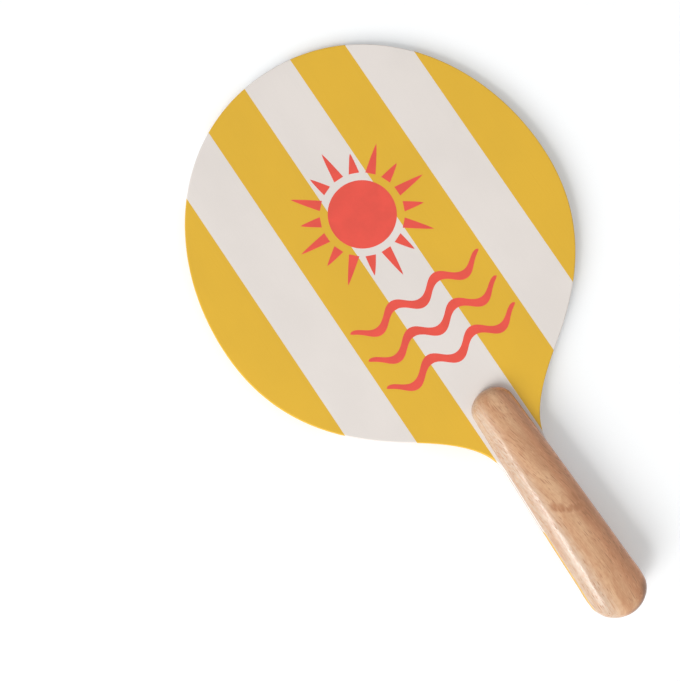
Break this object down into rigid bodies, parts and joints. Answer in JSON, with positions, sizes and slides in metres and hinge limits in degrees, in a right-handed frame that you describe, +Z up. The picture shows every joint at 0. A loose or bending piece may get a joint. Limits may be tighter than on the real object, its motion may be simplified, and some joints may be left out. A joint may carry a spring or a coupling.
{
  "type": "beach game paddle",
  "caption": "Round-bladed wooden beach game paddle with a striped plywood blade and a tapered wooden grip glued to both sides of its tang.",
  "frame": {"origin": "on the surface the paddle lies on, under the middle of its bounding box", "axes": "+X to the right seen from the front face, +Y along the paddle from the butt to the blade's tip, +Z up, out of the front face; the paddle leans 2.2 degrees tip down, as it lies on its back"},
  "size_m": [0.236, 0.4, 0.0311],
  "materials": {
    "face_paint": "satin paint in yellow and cream stripes",
    "core_wood": "plain veneer, painted with the stripes on its edge",
    "grip_wood": "clear satin lacquer"
  },
  "bodies": {
    "root": {"front_face_veneer": "face_paint", "front_crossband": "core_wood", "core_veneer": "core_wood", "back_crossband": "core_wood", "back_face_veneer": "face_paint", "front_grip_scale": "grip_wood", "back_grip_scale": "grip_wood"}
  },
  "joints": []
}
